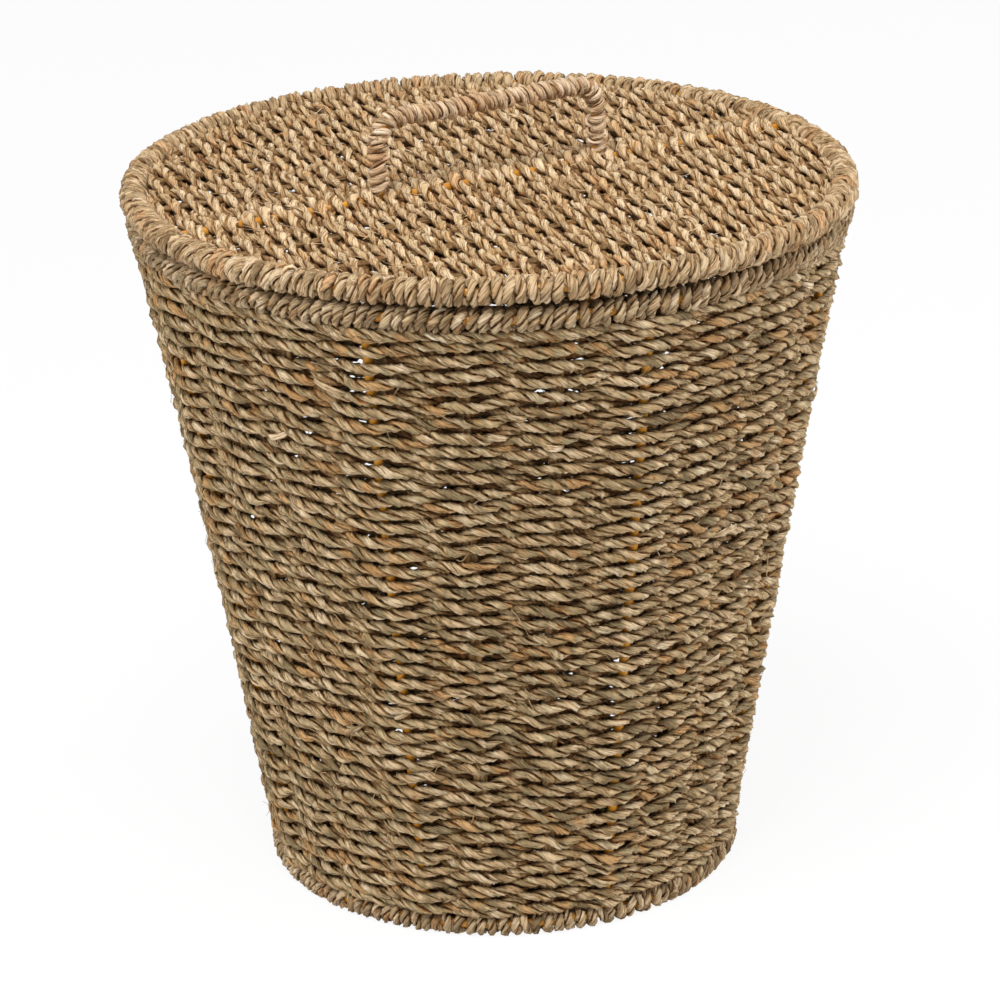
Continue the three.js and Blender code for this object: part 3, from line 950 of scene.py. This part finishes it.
def winding_path(tree):
    """A helix round the path given as geometry."""
    turns = tree.input("turns")
    seed = tree.input("seed")
    line, index = line_of_points(tree, turns * WINDING_STEPS + 1)
    turn = index / WINDING_STEPS
    phase = turn * math.tau
    own = tree.combine(turn * 0.83, seed, 0.0)
    sway = tree.noise(tree.combine(turn * 0.71, seed + 3, 4.0), 1.0, 1.0) * tree.input("sway")
    lean = tree.sin(phase + 0.6) * (sway + tree.input("lean"))
    place = (turn + lean + tree.noise(own, 1.0, 1.0) * tree.input("uneven")) / turns
    place = place - tree.math("FLOOR", place) * tree.input("ring")
    settings = {"mode": "FACTOR", "use_all_curves": True}
    inputs = {"Curves": tree.path(), "Factor": place}
    spot = tree.node("GeometryNodeSampleCurve", settings, inputs, "Position")
    face = tree.vector("MULTIPLY", spot, tree.input("spread"))
    face = tree.vector("NORMALIZE", tree.vector("ADD", face, tree.input("up")))
    side = tree.vector("CROSS_PRODUCT", spot.also("Tangent"), face)
    outward = tree.vector("ADD", tree.scaled(face, tree.cos(phase)), tree.scaled(side, tree.sin(phase)))
    slack = tree.noise(tree.combine(turn * 1.9, seed + 5, 0.0), 1.0, 2.0)
    radius = tree.input("radius") * (1 + slack * tree.input("slack"))
    line = placed(tree, line, tree.vector("ADD", spot, tree.scaled(outward, radius)))
    row = tree.math("FLOOR", turn / TURNS_PER_LEAF) + seed
    girth = 1 + tree.noise(tree.combine(turn * 1.3, 9.0, seed), 1.0, 2.0) * 0.7
    return measured(tree, line, phase * tree.input("radius"), row, girth)


def on_floor(tree, mesh):
    """Presses flat what would pass below the foot."""
    x, y, z = tree.split(tree.position())
    return placed(tree, mesh, tree.combine(x, y, tree.math("MAXIMUM", z, FOOT)))


def winding_recipe(name, lifted):
    tree = Recipe(
        name, turns=20, radius=0.0045, half=0.002, twist=0.014, ring=1.0, spread=(1.0, 1.0, 0.0),
        up=(0.0, 0.0, 0.0), lean=-0.2, sway=1.6, uneven=1.3, slack=0.3, seed=1.0,
    )
    mesh = twisted_cord(tree, winding_path(tree))
    tree.finish(warped(tree, mesh) if lifted else on_floor(tree, mesh))
    return tree


loops = winding_recipe("loops", False)
lid_loops = winding_recipe("lid_loops", True)

# %% Windings on the hoops and the handle


def turns_on(radius, spacing):
    return round(math.tau * radius / spacing)


grow(
    "lid_winding", lid_loops, edge_finish, "lid", "band", ["lid_binding"], lid_ring, True,
    turns=turns_on(lid_radius, 0.0058), radius=0.0043, half=0.0033, twist=0.018, sway=1.8, uneven=1.1,
)
grow(
    "rim_winding", loops, rim_finish, "basket", "band", ["rim_binding"], hoop_lines[1:], True,
    turns=turns_on(rim_radius, 0.0059), radius=0.0042, half=0.0030, twist=0.0155, lean=-0.5, sway=1.5,
    uneven=1.1, seed=5.0,
)
grow(
    "base_winding", loops, rim_finish, "basket", "band", ["base_binding"], hoop_lines[:1], True,
    turns=turns_on(base_radius, 0.0057), radius=0.0041, half=0.0029, twist=0.0155, slack=0.2, seed=3.0,
)
handle_line = [handle_points(lid_z + 0.004)]
grow(
    "handle_winding", loops, band_finish, "lid", "band", ["handle_binding"], handle_line,
    turns=33, radius=0.0027, half=0.0030, twist=0.0125, ring=0.0, spread=(0.0, 0.0, 0.0), up=(0.0, 1.0, 0.0),
    seed=7.0, lean=-0.25, sway=0.7, uneven=0.7, slack=0.25,
)

# %% [markdown]
# ## Loose ends
# A weaver joins a new leaf by tucking its end into the weave. Those ends show as short flat leaves that lie
# across a row or two, and worn leaves split into fine hairs. Both are made as many copies of one short line,
# each with its own random place, slope, bend and length. The seeds are fixed, so the basket stays the same.

# %% Loose leaves and fibres
STRAY_POINTS = 8
HAIR_SIDES = 4
WALL_MARGIN = 0.006
LID_MARGIN = 0.012
MEAN_WALL_RADIUS = 0.15


def wall_place(tree, number, seed):
    """A random place on the wall: a function of distance along a row, height and distance outwards."""
    angle = random(tree, 0.0, math.tau, number, seed)
    level = random(tree, wall_low[2] + WALL_MARGIN, wall_high[2] - WALL_MARGIN, number, seed + 1)

    def spot(along, across, out):
        return tree.combine(*wall_spot(tree, angle + along / MEAN_WALL_RADIUS, level + across, out))

    return spot


def lid_place(tree, number, seed):
    """A random place on the lid."""
    angle = random(tree, 0.0, math.tau, number, seed)
    radius = random(tree, 0.0, 1.0, number, seed + 1) ** 0.5 * (lid_radius - LID_MARGIN)

    def spot(along, across, out):
        return tree.combine(radius * tree.cos(angle) + across, radius * tree.sin(angle) + along, lid_z + out)

    return spot


def stray_recipe(name, place, lifted, loose):
    """Short leaves laid on the weave, or hairs that stand off it where loose is true."""
    tree = Recipe(
        name, count=20, length=0.02, half_width=0.0018, half_thickness=0.0005, out=0.005, slope=0.5,
        stand=0.004,
    )
    line, _ = line_of_points(tree, STRAY_POINTS)
    leaves, number = copies(tree, line, tree.input("count"))
    share = tree.node("GeometryNodeSplineParameter", out="Index") / (STRAY_POINTS - 1)
    slope = random(tree, -1.0, 1.0, number, 11) * tree.input("slope")
    length = random(tree, 0.6, 1.4, number, 12) * tree.input("length")
    bend = random(tree, -1.0, 1.0, number, 13) * (0.35 if loose else 0.1)
    stand = random(tree, 0.1, 1.0, number, 14) * tree.input("stand")
    reach = (share - 0.5) * length
    along = reach * tree.cos(slope)
    across = reach * tree.sin(slope) + (share * (1 - share) * 4) * bend * length
    if loose:
        out = tree.input("out") + (share ** 1.6) * stand - 0.001
    else:
        away = (share * 2 - 1) * (share * 2 - 1)
        out = tree.input("out") + stand * 0.15 - away * away * 0.0045
    leaves = placed(tree, leaves, place(tree, number, 21)(along, across, out))
    leaves = store(tree, leaves, "facing", "FLOAT_VECTOR", (0.0, 0.0, 1.0) if lifted else wall_facing(tree))
    taper = tree.remap(share, 0.0, 1.0, 1.0, 0.4) if loose else 0.55 + share * (1 - share) * 1.9
    girth = taper * random(tree, 0.7, 1.25, number, 15)
    leaves = measured(tree, leaves, reach + number * 0.037, number, girth)
    leaves = held(tree, leaves, "FREE", Normal=named(tree, "facing", "FLOAT_VECTOR"))
    thickness = tree.input("half_thickness")
    sides = HAIR_SIDES if loose else LEAF_SIDES
    # Painted shade along each leaf's and hair's long edges.
    ring = strand_ring(tree, thickness, tree.input("half_width"), 0, 0, 0, lambda x, y: y * y * 0.8, sides)
    mesh = sweep(tree, leaves, ring, thickness * 1.6, LEAF_BUMP_SIZE)
    tree.finish(warped(tree, mesh) if lifted else mesh)
    return tree


def wall_facing(tree):
    return tree.vector("NORMALIZE", tree.vector("MULTIPLY", tree.position(), (1.0, 1.0, 0.0)))


wall_leaves = stray_recipe("wall_leaves", wall_place, False, False)
lid_leaves = stray_recipe("lid_leaves", lid_place, True, False)
wall_hairs = stray_recipe("wall_hairs", wall_place, False, True)
lid_hairs = stray_recipe("lid_hairs", lid_place, True, True)
leaf = {"length": 0.015, "half_width": 0.0016}
hair = {"length": 0.013, "half_width": 0.00028, "half_thickness": 0.00022, "slope": 1.4}
grow("loose_leaves", wall_leaves, rim_finish, "basket", "weave", [], count=60, out=0.0056, **leaf)
grow("lid_loose_leaves", lid_leaves, edge_finish, "lid", "weave", [], count=22, out=0.0046, **leaf)
grow("loose_hairs", wall_hairs, cord_finish, "basket", "weave", [], count=420, **hair)
grow("lid_loose_hairs", lid_hairs, lid_finish, "lid", "weave", [], count=220, **hair)

# %% [markdown]
# ## Camera, light and floor
# The camera stands where the photograph's did: its height, distance and tilt were fitted to the two hoops.
# The light is a bright even sky with three soft lamps, and the pale floor shows white but keeps a shadow.

# %% Camera
camera_elevation = math.radians(21.63)
camera_azimuth = math.radians(-28.5)
camera_roll = math.radians(-1.37)
camera_distance = 2.22
camera_focal_pixels = 4159
photo_pixels = 1000
photo_shift = (0.003, 0.01015)
camera_target = Vector((0, 0, 0.18995))
SENSOR_WIDTH = 36.0

camera = add("camera", bpy.data.cameras.new("camera"))
bpy.context.scene.camera = camera
camera_back = Vector((
    math.sin(camera_azimuth) * math.cos(camera_elevation),
    -math.cos(camera_azimuth) * math.cos(camera_elevation),
    math.sin(camera_elevation),
))
camera.location = camera_target + camera_back * camera_distance
camera.rotation_mode = "QUATERNION"
camera.rotation_quaternion = (-camera_back).to_track_quat("-Z", "Y") @ Quaternion((0, 0, 1), camera_roll)
camera.data.sensor_width = SENSOR_WIDTH
camera.data.lens = camera_focal_pixels / photo_pixels * SENSOR_WIDTH
camera.data.shift_x, camera.data.shift_y = photo_shift
print(f"lens {camera.data.lens:.1f} mm")

# %% Lamps, sky and floor
LAMP_TARGET = Vector((0, 0, 0.2))
SKY_STRENGTH = 0.42
FLOOR_HALF = 6.0
FLOOR_GLOW = 0.90


def soft_lamp(name, place, size, energy):
    lamp = add(name, bpy.data.lights.new(name, "AREA"))
    lamp.data.size = size
    lamp.data.energy = energy
    lamp.location = place
    lamp.rotation_mode = "QUATERNION"
    lamp.rotation_quaternion = (LAMP_TARGET - Vector(place)).to_track_quat("-Z", "Y")


soft_lamp("top_lamp", (-0.9, -1.0, 2.8), 1.5, 76)
soft_lamp("left_lamp", (-2.5, 0.4, 1.1), 1.4, 20)
soft_lamp("right_lamp", (2.1, -1.4, 1.1), 1.4, 37)


def sky():
    """White where the camera sees it, directly or in a gloss, and a softer light for the rest."""
    world = bpy.data.worlds.new("sky")
    bpy.context.scene.world = world
    world.use_nodes = True
    tree = Tree(world.node_tree)
    rays = tree.node("ShaderNodeLightPath", {}, {}, "Is Camera Ray")
    seen = tree.math("MAXIMUM", rays.also("Is Glossy Ray"), rays.also("Is Transmission Ray"))
    seen = tree.math("MAXIMUM", rays, seen)
    background = world.node_tree.nodes["Background"]
    background.inputs["Color"].default_value = (1, 1, 1, 1)
    strength = SKY_STRENGTH + seen * (1 - SKY_STRENGTH)
    world.node_tree.links.new(strength.socket, background.inputs["Strength"])


def floor():
    mesh = bpy.data.meshes.new("floor")
    corners = [(x * FLOOR_HALF, y * FLOOR_HALF, 0) for x, y in ((-1, -1), (1, -1), (1, 1), (-1, 1))]
    mesh.from_pydata(corners, [], [(0, 1, 2, 3)])
    finish = Finish("pale_floor", roughness=0.9, specular=0.1)
    finish.shader.inputs["Base Color"].default_value = (0.86, 0.86, 0.86, 1)
    rays = finish.node("ShaderNodeLightPath", {}, {}, "Is Camera Ray")
    glow = finish.node("ShaderNodeEmission", {}, {"Color": (1, 1, 1, 1), "Strength": 1.0})
    body = Socket(finish, finish.shader.outputs[0])
    mixed = finish.node("ShaderNodeMixShader", {}, {0: rays * FLOOR_GLOW, 1: body, 2: glow})
    finish.tree.links.new(mixed.socket, finish.tree.nodes["Material Output"].inputs["Surface"])
    mesh.materials.append(finish.material)
    made = add("floor", mesh)


sky()
floor()
bpy.context.scene.view_settings.view_transform = "Standard"

# %% [markdown]
# ## Closing
# The triangles of all the pieces are added up and printed.

# %% Triangle count
print(f"triangles in all: {sum(triangle_counts)}")
